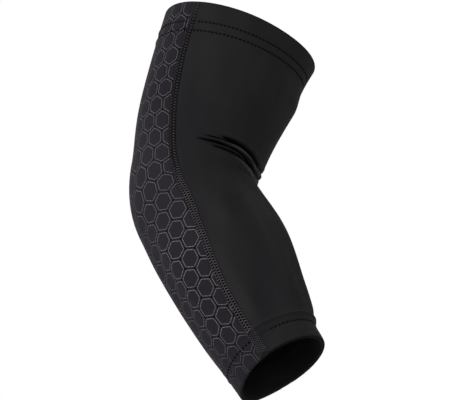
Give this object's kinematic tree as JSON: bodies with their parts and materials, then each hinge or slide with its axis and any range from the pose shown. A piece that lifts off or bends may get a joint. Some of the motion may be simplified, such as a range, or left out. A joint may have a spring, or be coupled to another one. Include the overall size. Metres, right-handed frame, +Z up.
{
  "type": "elbow compression sleeve",
  "caption": "Knitted elbow compression sleeve, a tapered open tube bent at the elbow, with two panels, flat side seams and turned-in hems.",
  "frame": {"origin": "middle of the hollow at the elbow, where the sleeve sits on the joint it supports", "axes": "+Z up along the upper tube's side, the bend lies in the XZ plane, -X is the back of the elbow, +X the inside of the bend, +Y and -Y are its two sides"},
  "size_m": [0.1372, 0.1128, 0.2912],
  "materials": {
    "smooth_knit": "smooth charcoal nylon and elastane knit with a soft sheen",
    "honeycomb_knit": "grey knit with a thin pale printed honeycomb",
    "seam_thread": "flat-stitched seam in grey and brown thread",
    "hem_knit": "turned-in charcoal knit"
  },
  "bodies": {
    "root": {"front_panel": "smooth_knit", "back_panel": "honeycomb_knit", "near_seam": "seam_thread", "far_seam": "seam_thread", "upper_hem": "hem_knit", "lower_hem": "hem_knit"}
  },
  "joints": []
}
